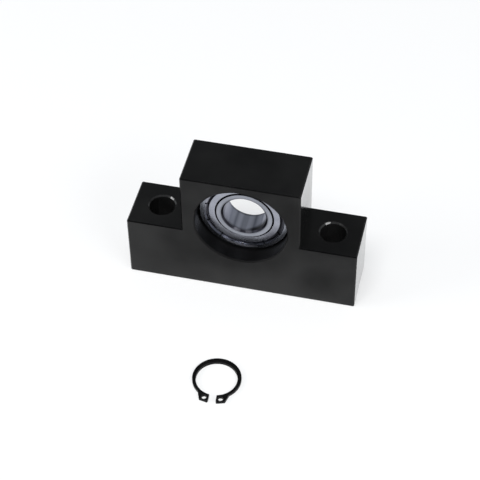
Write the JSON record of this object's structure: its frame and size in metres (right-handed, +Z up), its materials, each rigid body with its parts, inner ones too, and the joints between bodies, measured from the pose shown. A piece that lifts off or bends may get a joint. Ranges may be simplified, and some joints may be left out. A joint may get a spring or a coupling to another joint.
{
  "type": "ball screw end support",
  "caption": "Flanged steel block that carries the free end of a ball screw in a shielded ball bearing, with the external retaining ring of the journal lying in front.",
  "frame": {"origin": "on the base, under the middle of the centre block; the screw's axis is 30 mm above it", "axes": "+X across the two flanges, +Y along the screw from the recessed front face to the back, +Z up"},
  "size_m": [0.08, 0.0712, 0.049],
  "materials": {
    "black_oxide_steel": "black oxide on ground and milled faces, satin",
    "bearing_steel": "fine ground, bright",
    "shield_steel": "pressed sheet, satin",
    "cage_steel": "pressed sheet, satin",
    "rivet_steel": "headed wire, dull",
    "ball_steel": "lapped, mirror bright",
    "spring_steel": "phosphated and oiled, black"
  },
  "bodies": {
    "support": {"housing": "black_oxide_steel", "outer_ring": "bearing_steel", "shield_front": "shield_steel", "shield_rear": "shield_steel", "retaining_ring": "spring_steel"},
    "inner_race": {"inner_ring": "bearing_steel"},
    "cage": {"cage_front": "cage_steel", "cage_rear": "cage_steel", "cage_rivets": "rivet_steel"},
    "ball_1_body": {"ball_1": "ball_steel"},
    "ball_2_body": {"ball_2": "ball_steel"},
    "ball_3_body": {"ball_3": "ball_steel"},
    "ball_4_body": {"ball_4": "ball_steel"},
    "ball_5_body": {"ball_5": "ball_steel"},
    "ball_6_body": {"ball_6": "ball_steel"},
    "ball_7_body": {"ball_7": "ball_steel"},
    "ball_8_body": {"ball_8": "ball_steel"},
    "ball_9_body": {"ball_9": "ball_steel"}
  },
  "joints": [
    {"name": "inner_spin", "type": "hinge", "parent": "support", "child": "inner_race", "pos_m": [0, 0.0005, 0.03], "axis": [0, 1, 0], "continuous": true},
    {"name": "cage_spin", "type": "hinge", "parent": "support", "child": "cage", "pos_m": [0, 0.0005, 0.03], "axis": [0, 1, 0], "continuous": true},
    {"name": "ball_1_spin", "type": "hinge", "parent": "cage", "child": "ball_1_body", "pos_m": [0, 0.0005, 0.04175], "axis": [0, 1, 0], "continuous": true},
    {"name": "ball_2_spin", "type": "hinge", "parent": "cage", "child": "ball_2_body", "pos_m": [0.00755, 0.0005, 0.039], "axis": [0, 1, 0], "continuous": true},
    {"name": "ball_3_spin", "type": "hinge", "parent": "cage", "child": "ball_3_body", "pos_m": [0.01157, 0.0005, 0.03204], "axis": [0, 1, 0], "continuous": true},
    {"name": "ball_4_spin", "type": "hinge", "parent": "cage", "child": "ball_4_body", "pos_m": [0.01018, 0.0005, 0.02413], "axis": [0, 1, 0], "continuous": true},
    {"name": "ball_5_spin", "type": "hinge", "parent": "cage", "child": "ball_5_body", "pos_m": [0.00402, 0.0005, 0.01896], "axis": [0, 1, 0], "continuous": true},
    {"name": "ball_6_spin", "type": "hinge", "parent": "cage", "child": "ball_6_body", "pos_m": [-0.00402, 0.0005, 0.01896], "axis": [0, 1, 0], "continuous": true},
    {"name": "ball_7_spin", "type": "hinge", "parent": "cage", "child": "ball_7_body", "pos_m": [-0.01018, 0.0005, 0.02413], "axis": [0, 1, 0], "continuous": true},
    {"name": "ball_8_spin", "type": "hinge", "parent": "cage", "child": "ball_8_body", "pos_m": [-0.01157, 0.0005, 0.03204], "axis": [0, 1, 0], "continuous": true},
    {"name": "ball_9_spin", "type": "hinge", "parent": "cage", "child": "ball_9_body", "pos_m": [-0.00755, 0.0005, 0.039], "axis": [0, 1, 0], "continuous": true}
  ],
  "couplings": [
    {"joint": "cage_spin", "follows": "inner_spin", "ratio": 0.39867},
    {"joint": "ball_1_spin", "follows": "inner_spin", "ratio": -2.3659},
    {"joint": "ball_2_spin", "follows": "inner_spin", "ratio": -2.3659},
    {"joint": "ball_3_spin", "follows": "inner_spin", "ratio": -2.3659},
    {"joint": "ball_4_spin", "follows": "inner_spin", "ratio": -2.3659},
    {"joint": "ball_5_spin", "follows": "inner_spin", "ratio": -2.3659},
    {"joint": "ball_6_spin", "follows": "inner_spin", "ratio": -2.3659},
    {"joint": "ball_7_spin", "follows": "inner_spin", "ratio": -2.3659},
    {"joint": "ball_8_spin", "follows": "inner_spin", "ratio": -2.3659},
    {"joint": "ball_9_spin", "follows": "inner_spin", "ratio": -2.3659}
  ]
}
